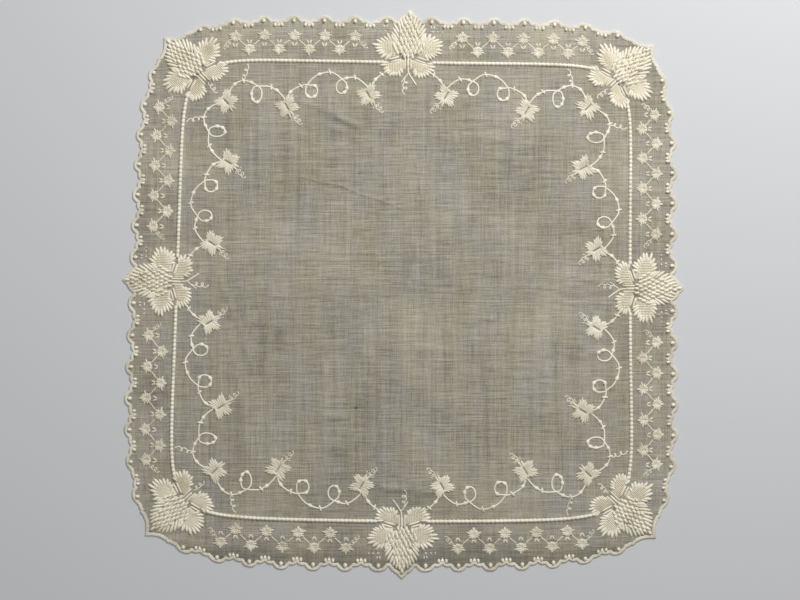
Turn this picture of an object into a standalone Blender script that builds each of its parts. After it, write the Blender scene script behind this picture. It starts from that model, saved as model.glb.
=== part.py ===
# A lady's linen handkerchief with a scalloped, whitework edge, lying flat.
# Metres, +Z up. The origin is under the middle of the cloth, on the surface that it lies on.

import math
from collections import namedtuple

import bpy
import numpy as np
from mathutils import Vector
from mathutils.geometry import delaunay_2d_cdt

MM = 0.001

# Driving sizes, in metres
HALF_SIDE = 206.8 * MM      # middle of the cloth to the peaks of the scallops
THICKNESS = 1.1 * MM        # of the solid; the linen itself is far thinner
RIM_WIDTH = 2.3 * MM        # band of edge stitches
RIM_RAISE = 0.5 * MM
BEAD_LINE = 171.3 * MM      # middle of the cloth to the line of padded dots
BEAD_HALF_WIDTH = 1.5 * MM
BEAD_RAISE = 0.7 * MM
BEAD_FROM = 24.0 * MM       # where the line comes out from under a side's cluster
BEAD_TO = 142.0 * MM        # where it goes in under a corner's cluster
BEAD_STEPS = 14
SIDE_CLUSTER = 176.6 * MM   # middle of the cloth to the root of a side's cluster
CORNER_CLUSTER = 173.0 * MM
CLUSTER_RAISE = 0.9 * MM
LEAF_RAISE = 0.8 * MM
SPRIG_RAISE = 0.6 * MM
FLAT_MIDDLE = 96.0 * MM     # half width of the middle that lies dead flat
FLAT_RIM = 196.0 * MM       # from here out to the edge it lies flat again
FOLD_FADE = 22.0 * MM       # the folds die away over this length toward the middle
RIM_FADE = 14.0 * MM        # and over this length toward the edge
TOP_SPACING = 15.0 * MM     # between the points that carry the folds
BOTTOM_SPACING = 24.0 * MM
BODY = (0.545, 0.520, 0.452)

# How far the cloth is pulled off a true square, in mm, at its corners, sides and middle
Pull = namedtuple("Pull", "column row shift_x shift_y")
PULLS = [
    Pull(-1, 1, 8.6, 4.6), Pull(0, 1, 4.6, 0.7), Pull(1, 1, 1.0, -1.0),
    Pull(-1, 0, 1.7, 10.6), Pull(0, 0, 0.0, 5.0), Pull(1, 0, -1.6, 4.2),
    Pull(-1, -1, -8.2, 6.2), Pull(0, -1, -1.0, -0.9), Pull(1, -1, 3.4, 4.8),
]
EDGE_ROUNDING = 5.5         # power of the rounded square at its edge
ROUNDING_GAIN = 110.0       # more power for each metre inside the edge

# The edge from the point at a side's middle to the corner, in mm from the line of the peaks
Stretch = namedtuple("Stretch", "width end_level bulge pieces")
POINT_EDGE = [
    Stretch(3.6, 1.6, 0.3, 2), Stretch(5.7, -3.4, 0.9, 3), Stretch(1.2, -3.4, 0.0, 1),
]
# Each big scallop and the two small ones beside it, in mm
Scallop = namedtuple("Scallop", "big small")
SCALLOPS = [
    Scallop(13.5, 5.7), Scallop(12.0, 5.7), Scallop(12.0, 5.7),
    Scallop(12.0, 5.7), Scallop(12.0, 6.0), Scallop(14.0, 7.3),
]
CORNER_EDGE = [
    Stretch(17.2, -2.2, 3.3, 6), Stretch(6.0, -1.8, 0.3, 2),
    Stretch(5.0, -1.6, 1.0, 2), Stretch(25.5, 5.2, -0.9, 4),
]
POINT_LEVEL = 5.2
BASE_LEVEL = -3.5
NOTCH_LEVEL = -5.0
BIG_BULGE = 3.6
SMALL_BULGE = 0.9

# Leaves on the inner vine of each half side, in mm; the lean is toward the side's middle
VineLeaf = namedtuple("VineLeaf", "along out lean")
VINE_LEAVES = [VineLeaf(29.8, 146.0, 30.0), VineLeaf(91.7, 135.4, 30.0)]
CORNER_LEAF = 146.5 * MM
LEAF_REACH = 8.8 * MM
# Half of a leaf's toothed rim: degrees round from its tip, and share of its reach
Tooth = namedtuple("Tooth", "turn share")
LEAF_RIM = [
    Tooth(0, 1.0), Tooth(26, 0.7), Tooth(57, 1.0), Tooth(88, 0.7),
    Tooth(121, 0.98), Tooth(152, 0.74), Tooth(180, 0.5),
]
# Sprigs in two rows between the bead line and the scallops, in mm
SprigRow = namedtuple("SprigRow", "first out count")
SPRIG_ROWS = [SprigRow(41.0, 190.5, 5), SprigRow(52.7, 181.0, 4)]
SPRIG_PITCH = 23.2 * MM
SPRIG_REACH = 4.6 * MM

# Leaf lobes on one side of a cluster, from base to tip, in mm aside and out from its root
Lobe = namedtuple("Lobe", "base_aside base_out tip_aside tip_out half_width teeth")
LOBES = [
    Lobe(7.6, 10.0, 11.6, 25.0, 4.4, 3),
    Lobe(8.6, 4.6, 27.6, 7.4, 8.0, 4),
    Lobe(3.2, -3.6, 19.6, -10.6, 6.6, 4),
]
# Half width of the grape bunch at each distance out from the root, in mm
Width = namedtuple("Width", "out half")
BUNCH = [
    Width(0.0, 4.6), Width(3.0, 9.0), Width(7.0, 8.4), Width(11.0, 6.6),
    Width(19.0, 5.0), Width(25.0, 3.6), Width(29.0, 1.4),
]
BERRY_ROW = 3.7 * MM
BERRY_COLUMN = 4.2 * MM
BERRY_DIP = 0.45            # share of the cluster's height left between berries

# Soft puckers where the stitching draws the linen up: mm, and degrees from across
Fold = namedtuple("Fold", "x y angle length width height")
FOLDS = [
    Fold(-58, 138, 158, 46, 9, 1.1), Fold(-20, 128, 12, 40, 8, 0.8),
    Fold(64, 130, 8, 52, 10, 1.0), Fold(134, 7, 3, 44, 8, 1.2),
    Fold(132, -40, 174, 38, 9, 1.0), Fold(128, 62, 20, 40, 11, 0.9),
    Fold(-126, -58, 94, 96, 12, 1.3), Fold(-112, -96, 70, 48, 9, 0.8),
    Fold(-134, 60, 84, 60, 10, 0.9), Fold(8, -146, 4, 62, 9, 1.2),
    Fold(78, -138, 170, 50, 10, 0.9), Fold(-70, -140, 14, 48, 11, 1.0),
    Fold(-30, 182, 2, 60, 7, 0.9), Fold(96, 180, 172, 66, 8, 1.0),
    Fold(-96, -180, 8, 70, 8, 1.0), Fold(60, -182, 176, 56, 7, 0.8),
    Fold(181, 92, 88, 60, 7, 0.9), Fold(180, -96, 92, 70, 8, 1.0),
    Fold(-180, 92, 84, 60, 7, 0.8), Fold(-182, -70, 92, 66, 8, 1.0),
]


def clear_scene():
    for thing in list(bpy.data.objects):
        bpy.data.objects.remove(thing, do_unlink=True)


def settle(x, y):
    """A point of the true square, moved to where it lies on the drawn-up cloth."""
    reach = max(abs(x), abs(y), 1e-9)
    power = EDGE_ROUNDING + max(HALF_SIDE - reach, 0.0) * ROUNDING_GAIN
    shrink = (abs(x / reach) ** power + abs(y / reach) ** power) ** (-1.0 / power)
    x, y = x * shrink, y * shrink
    u, v = x / HALF_SIDE, y / HALF_SIDE
    across = {-1: u * (u - 1) / 2, 0: 1 - u * u, 1: u * (u + 1) / 2}
    up = {-1: v * (v - 1) / 2, 0: 1 - v * v, 1: v * (v + 1) / 2}
    for pull in PULLS:
        share = across[pull.column] * up[pull.row] * MM
        x += share * pull.shift_x
        y += share * pull.shift_y
    return Vector((x, y))


def on_side(side, mirror, along, out):
    """Along a side from its middle and out from the cloth's middle, as x and y."""
    x, y = mirror * along, out
    for _ in range(side):
        x, y = y, -x
    return x, y


def settled(side, mirror, along, out):
    return settle(*on_side(side, mirror, along, out))


def half_sides():
    return [(side, mirror) for side in range(4) for mirror in (-1, 1)]


def edge_pieces():
    pieces = list(POINT_EDGE)
    for scallop in SCALLOPS:
        pieces.append(Stretch(scallop.big, BASE_LEVEL, BIG_BULGE, 6))
        pieces.append(Stretch(scallop.small, NOTCH_LEVEL, SMALL_BULGE, 2))
        pieces.append(Stretch(scallop.small, BASE_LEVEL, SMALL_BULGE, 2))
    return pieces + CORNER_EDGE


def edge_run():
    """One half side of the edge, as distances along and out."""
    run = [(0.0, HALF_SIDE + POINT_LEVEL * MM)]
    along, level = 0.0, POINT_LEVEL
    for piece in edge_pieces():
        fullness = 2.7 if piece.bulge > 2.0 else 2.0
        for k in range(1, piece.pieces + 1):
            t = k / piece.pieces
            swell = piece.bulge * (1 - abs(2 * t - 1) ** fullness)
            out = level + (piece.end_level - level) * t + swell
            run.append(((along + piece.width * t) * MM, HALF_SIDE + out * MM))
        along += piece.width
        level = piece.end_level
    return run


def outline():
    """The whole edge, clockwise from the top side's corner."""
    run = edge_run()
    loop = []
    for side in range(4):
        left = [settled(side, -1, a, o) for a, o in reversed(run[1:-1])]
        right = [settled(side, 1, a, o) for a, o in run]
        loop += left + right
    return loop


def inner_rim(loop):
    """Every other point of the edge, moved in by the width of the stitches."""
    ring = []
    count = len(loop)
    for k in range(0, count, 2):
        before, after = loop[k - 2], loop[(k + 2) % count]
        run = (after - before).normalized()
        inward = Vector((run.y, -run.x))
        ring.append(loop[k] + inward * RIM_WIDTH)
    return ring


def soft_step(share):
    return share * share * (3 - 2 * share)


def fold_height(x, y):
    """How far the cloth stands off the surface at a point."""
    height = 0.0
    for fold in FOLDS:
        turn = math.radians(fold.angle)
        dx, dy = x / MM - fold.x, y / MM - fold.y
        run = (dx * math.cos(turn) + dy * math.sin(turn)) / (0.7 * fold.length)
        aside = (dy * math.cos(turn) - dx * math.sin(turn)) / fold.width
        if abs(run) < 1.0 and abs(aside) < 3.0:
            height += fold.height * math.exp(-aside * aside) * (1 - run * run) ** 2
    reach = max(abs(x), abs(y))
    inner = min(1.0, max(0.0, (reach - FLAT_MIDDLE) / FOLD_FADE))
    rim = min(1.0, max(0.0, (FLAT_RIM - reach) / RIM_FADE))
    return height * MM * soft_step(inner) * soft_step(rim)


class Top:
    """Points and lines of the upper face, each with its height above the plain cloth."""

    def __init__(self):
        self.points = []
        self.raises = []
        self.lines = []

    def add(self, point, raised=0.0):
        self.points.append(Vector((point[0], point[1])))
        self.raises.append(raised)
        return len(self.points) - 1

    def line(self, points, raised=0.0, closed=False):
        ids = [self.add(point, raised) for point in points]
        self.lines += list(zip(ids[:-1], ids[1:]))
        if closed:
            self.lines.append((ids[-1], ids[0]))
        return ids


def bead_ribs(top):
    for side, mirror in half_sides():
        rows = ((BEAD_HALF_WIDTH, 0.0), (0.0, BEAD_RAISE), (-BEAD_HALF_WIDTH, 0.0))
        for aside, raised in rows:
            steps = range(BEAD_STEPS + 1)
            alongs = [BEAD_FROM + (BEAD_TO - BEAD_FROM) * k / BEAD_STEPS for k in steps]
            top.line([settled(side, mirror, a, BEAD_LINE + aside) for a in alongs], raised)


def frame_at(root, tip):
    """A local frame with its second axis from the root toward the tip."""
    out = (tip - root).normalized()
    right = Vector((out.y, -out.x))
    return lambda u, v: root + right * u + out * v


def cluster_frames():
    frames = []
    for side in range(4):
        middle = settled(side, 1, 0.0, SIDE_CLUSTER)
        frames.append(frame_at(middle, settled(side, 1, 0.0, HALF_SIDE)))
        corner = settled(side, 1, CORNER_CLUSTER, CORNER_CLUSTER)
        frames.append(frame_at(corner, settled(side, 1, HALF_SIDE, HALF_SIDE)))
    return frames


def bunch_half_width(out):
    outs = [width.out * MM for width in BUNCH]
    return float(np.interp(out, outs, [width.half * MM for width in BUNCH]))


def leaf_lobe(top, place, lobe, mirror):
    """One leaf lobe of a cluster: a toothed foot round a raised middle."""
    base = Vector((lobe.base_aside * mirror, lobe.base_out)) * MM
    tip = Vector((lobe.tip_aside * mirror, lobe.tip_out)) * MM
    run = tip - base
    cross = Vector((run.y, -run.x)).normalized() * lobe.half_width * MM
    for way in (1, -1):
        for k in range(2 * lobe.teeth - 1):
            t = 0.04 + 0.84 * k / (2 * lobe.teeth - 2)
            swell = math.sin(math.pi * (0.2 + 0.68 * t)) ** 0.7
            toothed = 0.78 if k % 2 else 1.0
            top.add(place(*(base + run * t + cross * (way * swell * toothed))))
        for t, wide, share in ((0.14, 0.42, 0.8), (0.46, 0.55, 1.0), (0.74, 0.38, 0.9)):
            crest = base + run * t + cross * (way * wide)
            top.add(place(*crest), CLUSTER_RAISE * share)
    top.add(place(*tip))


def berries(top, place):
    """The bunch: a staggered lattice of high points with a dip between each three."""
    out = 1.5 * MM
    row = 0
    while out < BUNCH[-1].out * MM:
        count = int(bunch_half_width(out) / BERRY_COLUMN + 1)
        for k in range(-count, count + 1):
            aside = (k + 0.5 * (row % 2)) * BERRY_COLUMN
            if abs(aside) <= bunch_half_width(out):
                top.add(place(aside, out), CLUSTER_RAISE)
            for dip_aside, dip_out in ((0.0, 0.64), (0.5, 0.33)):
                u = aside + dip_aside * BERRY_COLUMN
                v = out + dip_out * BERRY_ROW
                if abs(u) <= bunch_half_width(v) - 1.0 * MM:
                    top.add(place(u, v), CLUSTER_RAISE * BERRY_DIP)
        out += BERRY_ROW
        row += 1


def clusters(top):
    for place in cluster_frames():
        for lobe in LOBES:
            leaf_lobe(top, place, lobe, 1)
            leaf_lobe(top, place, lobe, -1)
        berries(top, place)


def vine_leaf(top, place):
    """A leaf of the inner vine: a toothed rim round two raised halves and a slit."""
    for way in (1, -1):
        for tooth in LEAF_RIM:
            if way == -1 and tooth.turn in (0, 180):
                continue
            turn = math.radians(tooth.turn) * way
            reach = LEAF_REACH * tooth.share
            top.add(place(reach * math.sin(turn), reach * math.cos(turn)))
        for v in (-0.42, 0.05, 0.46):
            u = way * LEAF_REACH * (0.44 - 0.2 * abs(v))
            top.add(place(u, v * LEAF_REACH), LEAF_RAISE)
    for v in (-0.3, 0.3):
        top.add(place(0.0, v * LEAF_REACH), LEAF_RAISE * 0.3)


def vine_leaves(top):
    for side, mirror in half_sides():
        for leaf in VINE_LEAVES:
            root = settled(side, mirror, leaf.along * MM, leaf.out * MM)
            turn = math.radians(leaf.lean)
            along = (leaf.along - 9 * math.sin(turn)) * MM
            out = (leaf.out - 9 * math.cos(turn)) * MM
            vine_leaf(top, frame_at(root, settled(side, mirror, along, out)))
    for side in range(4):
        root = settled(side, 1, CORNER_LEAF, CORNER_LEAF)
        inner = CORNER_LEAF - 6 * MM
        vine_leaf(top, frame_at(root, settled(side, 1, inner, inner)))


def sprigs(top):
    for side, mirror in half_sides():
        for row in SPRIG_ROWS:
            for k in range(row.count):
                middle = settled(side, mirror, row.first * MM + SPRIG_PITCH * k, row.out * MM)
                top.add(middle, SPRIG_RAISE)
                for corner in range(6):
                    turn = math.pi * corner / 3
                    aside = Vector((math.cos(turn), math.sin(turn))) * SPRIG_REACH
                    top.add(middle + aside)


def inside(point, loop):
    """Whether a point is within a closed loop."""
    hit = False
    for a, b in zip(loop, loop[1:] + loop[:1]):
        if (a.y > point.y) != (b.y > point.y):
            if point.x < (b.x - a.x) * (point.y - a.y) / (b.y - a.y) + a.x:
                hit = not hit
    return hit


def grid(spacing, keep_off, taken, loop):
    """Points over the cloth outside its flat middle, clear of those already there."""
    found = []
    taken = np.array([(p.x, p.y) for p in taken])
    steps = int(HALF_SIDE / spacing) + 1
    for i in range(-steps, steps + 1):
        for j in range(-steps, steps + 1):
            x = (i + 0.5 * (j % 2)) * spacing
            y = j * spacing * 0.87
            if max(abs(x), abs(y)) < FLAT_MIDDLE - 0.5 * spacing:
                continue
            gap = np.hypot(taken[:, 0] - x, taken[:, 1] - y).min()
            if gap > keep_off and inside(Vector((x, y)), loop):
                found.append(Vector((x, y)))
    return found


def middle_points():
    """The border of the flat middle, shared by both faces."""
    steps = 8
    corners = [(-1, -1), (1, -1), (1, 1), (-1, 1)]
    ring = []
    for k in range(4):
        a, b = corners[k], corners[(k + 1) % 4]
        for s in range(steps):
            t = s / steps
            ring.append(Vector((a[0] + (b[0] - a[0]) * t, a[1] + (b[1] - a[1]) * t)))
    return [point * (FLAT_MIDDLE - 1 * MM) for point in ring]


def triangles(points, lines, loop_count):
    """Triangles between the points that keep the lines, within the first loop."""
    loop = list(range(loop_count))
    result = delaunay_2d_cdt(points, lines, [loop], 1, 1e-7)
    verts, faces, origins = result[0], result[2], result[3]
    if len(verts) != len(points):
        print("points joined or added:", len(points), len(verts))
    order = [origin[0] for origin in origins]
    return [tuple(order[i] for i in face) for face in faces]


def cloth_mesh():
    loop = outline()
    count = len(loop)
    top = Top()
    for point in loop:
        top.add(point, RIM_RAISE)
    top.line(inner_rim(loop), 0.0, closed=True)
    bead_ribs(top)
    clusters(top)
    vine_leaves(top)
    sprigs(top)
    for point in middle_points():
        top.add(point)
    for point in grid(TOP_SPACING, 0.5 * TOP_SPACING, top.points, loop):
        top.add(point)
    upper = triangles(top.points, top.lines, count)

    under = list(loop) + middle_points()
    under += grid(BOTTOM_SPACING, 0.45 * BOTTOM_SPACING, under, loop)
    lower = triangles(under, [], count)

    verts = [(p.x, p.y, fold_height(p.x, p.y)) for p in under]
    base = len(verts)
    for point, raised in zip(top.points, top.raises):
        z = fold_height(point.x, point.y) + THICKNESS + raised
        verts.append((point.x, point.y, z))
    faces = [tuple(reversed(face)) for face in lower]
    faces += [tuple(base + i for i in face) for face in upper]
    for k in range(count):
        after = (k + 1) % count
        faces.append((k, base + after, after))
        faces.append((k, base + k, base + after))
    return verts, faces


def linen():
    material = bpy.data.materials.new("linen")
    material.use_nodes = True
    shader = material.node_tree.nodes["Principled BSDF"]
    shader.inputs["Base Color"].default_value = (*BODY, 1.0)
    shader.inputs["Roughness"].default_value = 0.88
    shader.inputs["Metallic"].default_value = 0.0
    return material


def build():
    clear_scene()
    verts, faces = cloth_mesh()
    mesh = bpy.data.meshes.new("embroidered_cloth")
    mesh.from_pydata(verts, [], faces)
    mesh.validate()
    mesh.update()
    mesh.materials.append(linen())
    cloth = bpy.data.objects.new("embroidered_cloth", mesh)
    bpy.context.scene.collection.objects.link(cloth)
    print("triangles:", len(mesh.polygons))


build()
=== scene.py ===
# A lady's linen handkerchief with a scalloped, whitework edge, lying flat.
# Lengths are in millimetres up to the meshes, which are in metres like the frame.

import math
from collections import namedtuple

import bpy
import numpy as np
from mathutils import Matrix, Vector
from mathutils.geometry import delaunay_2d_cdt
from mathutils.kdtree import KDTree


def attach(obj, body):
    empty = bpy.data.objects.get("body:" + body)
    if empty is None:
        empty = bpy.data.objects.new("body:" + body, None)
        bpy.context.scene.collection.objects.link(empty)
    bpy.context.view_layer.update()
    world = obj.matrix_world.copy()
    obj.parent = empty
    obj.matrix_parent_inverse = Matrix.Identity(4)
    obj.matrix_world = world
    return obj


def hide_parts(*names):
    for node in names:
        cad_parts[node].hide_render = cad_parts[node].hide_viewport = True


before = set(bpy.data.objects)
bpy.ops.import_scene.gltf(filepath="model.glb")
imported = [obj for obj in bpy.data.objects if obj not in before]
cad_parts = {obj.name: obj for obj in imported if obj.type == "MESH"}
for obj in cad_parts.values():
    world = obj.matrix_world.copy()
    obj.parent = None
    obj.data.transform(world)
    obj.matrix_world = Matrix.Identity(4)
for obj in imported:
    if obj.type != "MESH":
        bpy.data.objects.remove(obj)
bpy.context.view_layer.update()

MM = 0.001
NODE = "embroidered_cloth"

# The layout, shared with the solid but for where the dots of the bead line start
HALF_SIDE = 206.8           # middle of the cloth to the peaks of the scallops
BEAD_LINE = 171.3           # middle of the cloth to the line of padded dots
BEAD_FROM = 18.0            # from a side's middle, just under the cluster's leaves
BEAD_TO = 146.5
SIDE_CLUSTER = 176.6        # middle of the cloth to the root of a side's cluster
CORNER_CLUSTER = 173.0
CORNER_LEAF = 146.5
EDGE_ROUNDING = 5.5         # power of the rounded square at its edge
ROUNDING_GAIN = 0.11        # more power for each mm inside the edge

# How far the cloth is pulled off a true square, at its corners, sides and middle
Pull = namedtuple("Pull", "column row shift_x shift_y")
PULLS = [
    Pull(-1, 1, 8.6, 4.6), Pull(0, 1, 4.6, 0.7), Pull(1, 1, 1.0, -1.0),
    Pull(-1, 0, 1.7, 10.6), Pull(0, 0, 0.0, 5.0), Pull(1, 0, -1.6, 4.2),
    Pull(-1, -1, -8.2, 6.2), Pull(0, -1, -1.0, -0.9), Pull(1, -1, 3.4, 4.8),
]
# The edge from the point at a side's middle to the corner, level from the line of the peaks
Stretch = namedtuple("Stretch", "width end_level bulge")
POINT_EDGE = [Stretch(3.6, 1.6, 0.3), Stretch(5.7, -3.4, 0.9), Stretch(1.2, -3.4, 0.0)]
Scallop = namedtuple("Scallop", "big small")
SCALLOPS = [
    Scallop(13.5, 5.7), Scallop(12.0, 5.7), Scallop(12.0, 5.7),
    Scallop(12.0, 5.7), Scallop(12.0, 6.0), Scallop(14.0, 7.3),
]
LAST_SCALLOP = Stretch(17.2, -2.2, 3.3)
CORNER_EDGE = [Stretch(6.0, -1.8, 0.3), Stretch(5.0, -1.6, 1.0), Stretch(25.5, 5.2, -0.9)]
POINT_LEVEL = 5.2
BASE_LEVEL = -3.5
NOTCH_LEVEL = -5.0
BIG_BULGE = 3.6
SMALL_BULGE = 0.9

# Soft puckers where the stitching draws the linen up: degrees from across
Fold = namedtuple("Fold", "x y angle length width height")
FOLDS = [
    Fold(-58, 138, 158, 46, 9, 1.1), Fold(-20, 128, 12, 40, 8, 0.8),
    Fold(64, 130, 8, 52, 10, 1.0), Fold(134, 7, 3, 44, 8, 1.2),
    Fold(132, -40, 174, 38, 9, 1.0), Fold(128, 62, 20, 40, 11, 0.9),
    Fold(-126, -58, 94, 96, 12, 1.3), Fold(-112, -96, 70, 48, 9, 0.8),
    Fold(-134, 60, 84, 60, 10, 0.9), Fold(8, -146, 4, 62, 9, 1.2),
    Fold(78, -138, 170, 50, 10, 0.9), Fold(-70, -140, 14, 48, 11, 1.0),
    Fold(-30, 182, 2, 60, 7, 0.9), Fold(96, 180, 172, 66, 8, 1.0),
    Fold(-96, -180, 8, 70, 8, 1.0), Fold(60, -182, 176, 56, 7, 0.8),
    Fold(181, 92, 88, 60, 7, 0.9), Fold(180, -96, 92, 70, 8, 1.0),
    Fold(-180, 92, 84, 60, 7, 0.8), Fold(-182, -70, 92, 66, 8, 1.0),
]
FLAT_MIDDLE = 96.0
FLAT_RIM = 196.0
FOLD_FADE = 22.0
RIM_FADE = 14.0
FOLD_REACH = 0.7            # of a fold's length, to each side of its middle
FOLD_ENDS = 3.0             # widths aside, where a fold is cut off
# Old fold lines and fine creases pressed into the middle: ridges, or troughs below zero
Crease = namedtuple("Crease", "x0 y0 x1 y1 width height")
CREASES = [
    Crease(-116, 29, 40, 29.5, 1.1, -0.62), Crease(-40, 8, 121, 1.5, 1.0, -0.5),
    Crease(-140, -32, 30, -33, 1.3, -0.45), Crease(-18, -41, 40, -42, 2.2, 0.5),
    Crease(-110, 20, -62, 20, 2.4, 0.45), Crease(-86, 91, 6, 64, 0.9, 0.6),
    Crease(-80, 146, -28, 124, 2.4, 0.8), Crease(-66, 132, -20, 118, 2.0, -0.5),
    Crease(116, 13, 162, 9, 2.0, 0.95), Crease(112, -1, 158, -4, 1.8, -0.6),
    Crease(118, -46, 152, -44, 2.0, 0.7), Crease(-138, 18, -112, -60, 2.8, 0.9),
    Crease(-126, -40, -118, -118, 2.6, 0.85), Crease(-112, 4, -104, -112, 2.8, -0.6),
    Crease(-26, -142, 26, -150, 2.2, 0.8), Crease(-20, -152, 30, -144, 1.8, -0.5),
    Crease(30, -96, 118, -90, 2.8, 0.5), Crease(-104, -120, -30, -112, 2.6, 0.5),
    Crease(46, -24, 74, -15, 2.2, 0.5), Crease(70, 70, 104, 71, 2.4, 0.5),
    Crease(30, 88, 52, 106, 2.4, 0.45), Crease(40, 118, 112, 112, 2.4, 0.55),
    Crease(8, 108, 20, 30, 2.6, 0.35),
]

# Cloth and thread
CLOTH_THICK = 0.3
CLOTH_RISE = 0.06           # the stitches' backs show this far under the cloth
CLOTH_GRID = 2.3
ROW_SPACING = 0.87          # rows of the grid, as a share of its points' spacing
EDGE_STEP = 0.9
CREASE_ENDS = 6             # a crease fades in over its length divided by this
CREASE_STEP = 3.5
CLOTH_REACH = 215           # half the square that the grid is laid over
NEAR_EDGE = 170             # beyond this, a point is tested against the edge
TROUGH_RIDGES = 2.2         # widths from the middle of a trough to each of its ridges


def settle(points):
    """Points of the true square, moved to where they lie on the drawn-up cloth."""
    x, y = np.asarray(points, float).reshape(-1, 2).T
    reach = np.maximum(np.maximum(abs(x), abs(y)), 1e-6)
    power = EDGE_ROUNDING + np.maximum(HALF_SIDE - reach, 0) * ROUNDING_GAIN
    shrink = ((abs(x) / reach) ** power + (abs(y) / reach) ** power) ** (-1 / power)
    x, y = x * shrink, y * shrink
    u, v = x / HALF_SIDE, y / HALF_SIDE
    across = {-1: u * (u - 1) / 2, 0: 1 - u * u, 1: u * (u + 1) / 2}
    up = {-1: v * (v - 1) / 2, 0: 1 - v * v, 1: v * (v + 1) / 2}
    for pull in PULLS:
        share = across[pull.column] * up[pull.row]
        x = x + share * pull.shift_x
        y = y + share * pull.shift_y
    return np.stack([x, y], 1)


def on_side(side, mirror, points):
    """Points given along a side from its middle and out from the cloth's middle, as x and y."""
    points = np.asarray(points, float).reshape(-1, 2)
    x, y = mirror * points[:, 0], points[:, 1]
    for _ in range(side):
        x, y = y, -x
    return np.stack([x, y], 1)


def settled(side, mirror, points):
    return settle(on_side(side, mirror, points))


HALF_SIDES = [(side, mirror) for side in range(4) for mirror in (-1, 1)]


def scallop_stretches():
    pieces = list(POINT_EDGE)
    for scallop in SCALLOPS:
        pieces.append(Stretch(scallop.big, BASE_LEVEL, BIG_BULGE))
        pieces.append(Stretch(scallop.small, NOTCH_LEVEL, SMALL_BULGE))
        pieces.append(Stretch(scallop.small, BASE_LEVEL, SMALL_BULGE))
    return pieces + [LAST_SCALLOP] + CORNER_EDGE


def edge_run(step):
    """One half side of the edge, along and out, with a point at least every step."""
    run = [(0.0, HALF_SIDE + POINT_LEVEL)]
    along, level = 0.0, POINT_LEVEL
    for piece in scallop_stretches():
        fullness = 2.7 if piece.bulge > 2.0 else 2.0
        count = max(2, math.ceil(piece.width / step))
        for k in range(1, count + 1):
            t = k / count
            swell = piece.bulge * (1 - abs(2 * t - 1) ** fullness)
            out = level + (piece.end_level - level) * t + swell
            run.append((along + piece.width * t, HALF_SIDE + out))
        along += piece.width
        level = piece.end_level
    return np.array(run)


def outline(step):
    """The whole edge, clockwise from the top side's far corner."""
    run = edge_run(step)
    loop = []
    for side in range(4):
        loop.append(settled(side, -1, run[1:-1][::-1]))
        loop.append(settled(side, 1, run))
    return np.concatenate(loop)


def soft_step(share):
    share = np.clip(share, 0, 1)
    return share * share * (3 - 2 * share)


def wander(crease, t):
    """How far a crease strays aside at shares of its length."""
    return 1.2 * np.sin(7.0 * t + crease.x0) + 0.5 * np.sin(19.0 * t + crease.y0)


def lie(points):
    """How far the cloth's underside stands off the surface at each point."""
    x, y = np.asarray(points, float).reshape(-1, 2).T
    height = np.zeros(len(x))
    for fold in FOLDS:
        turn = math.radians(fold.angle)
        dx, dy = x - fold.x, y - fold.y
        run = (dx * math.cos(turn) + dy * math.sin(turn)) / (FOLD_REACH * fold.length)
        aside = (dy * math.cos(turn) - dx * math.sin(turn)) / fold.width
        ridge = fold.height * np.exp(-aside * aside) * np.maximum(0, 1 - run * run) ** 2
        height += np.where(abs(aside) < FOLD_ENDS, ridge, 0)
    reach = np.maximum(abs(x), abs(y))
    height *= soft_step((reach - FLAT_MIDDLE) / FOLD_FADE)
    height *= soft_step((FLAT_RIM - reach) / RIM_FADE)
    for crease in CREASES:
        run = np.array([crease.x1 - crease.x0, crease.y1 - crease.y0])
        length = np.hypot(*run)
        run = run / length
        dx, dy = x - crease.x0, y - crease.y0
        t = (dx * run[0] + dy * run[1]) / length
        aside = (dy * run[0] - dx * run[1] + wander(crease, t)) / crease.width
        ends = np.clip(t * CREASE_ENDS, 0, 1) * np.clip((1 - t) * CREASE_ENDS, 0, 1)
        if crease.height > 0:
            shape = np.exp(-aside * aside)
        else:
            shape = np.exp(-(aside - TROUGH_RIDGES) ** 2) + np.exp(-(aside + TROUGH_RIDGES) ** 2)
        height += abs(crease.height) * shape * ends
    return height


def new_piece(name, verts, faces, material):
    """A mesh piece from points in mm, with a flat map seen from above."""
    mesh = bpy.data.meshes.new(name)
    mesh.from_pydata((np.asarray(verts) * MM).tolist(), [], faces)
    mesh.validate()
    mesh.polygons.foreach_set("use_smooth", [True] * len(mesh.polygons))
    flat = mesh.uv_layers.new(name="OFBake")
    corners = np.empty(len(mesh.loops), int)
    mesh.loops.foreach_get("vertex_index", corners)
    points = np.empty(len(mesh.vertices) * 3)
    mesh.vertices.foreach_get("co", points)
    xy = points.reshape(-1, 3)[corners, :2]
    span = 2.2 * HALF_SIDE * MM
    flat.data.foreach_set("uv", (xy / span + 0.5).ravel())
    mesh.update()
    mesh.materials.append(material)
    piece = bpy.data.objects.new(name, mesh)
    bpy.context.scene.collection.objects.link(piece)
    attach(piece, "root")
    return piece


class Stitches:
    """Many small closed shapes, gathered into one mesh."""

    def __init__(self):
        self.verts = []
        self.faces = []
        self.count = 0

    def add(self, verts, faces):
        """Points of one or more copies of a shape, and one copy's faces."""
        verts = np.asarray(verts, float)
        copies = verts.reshape(-1, verts.shape[-2], 3)
        for k in range(len(copies)):
            base = self.count + k * copies.shape[1]
            self.faces += [tuple(base + i for i in face) for face in faces]
        self.verts.append(copies.reshape(-1, 3))
        self.count += copies.shape[0] * copies.shape[1]

    def piece(self, name, material):
        return new_piece(name, np.concatenate(self.verts), self.faces, material)


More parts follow.
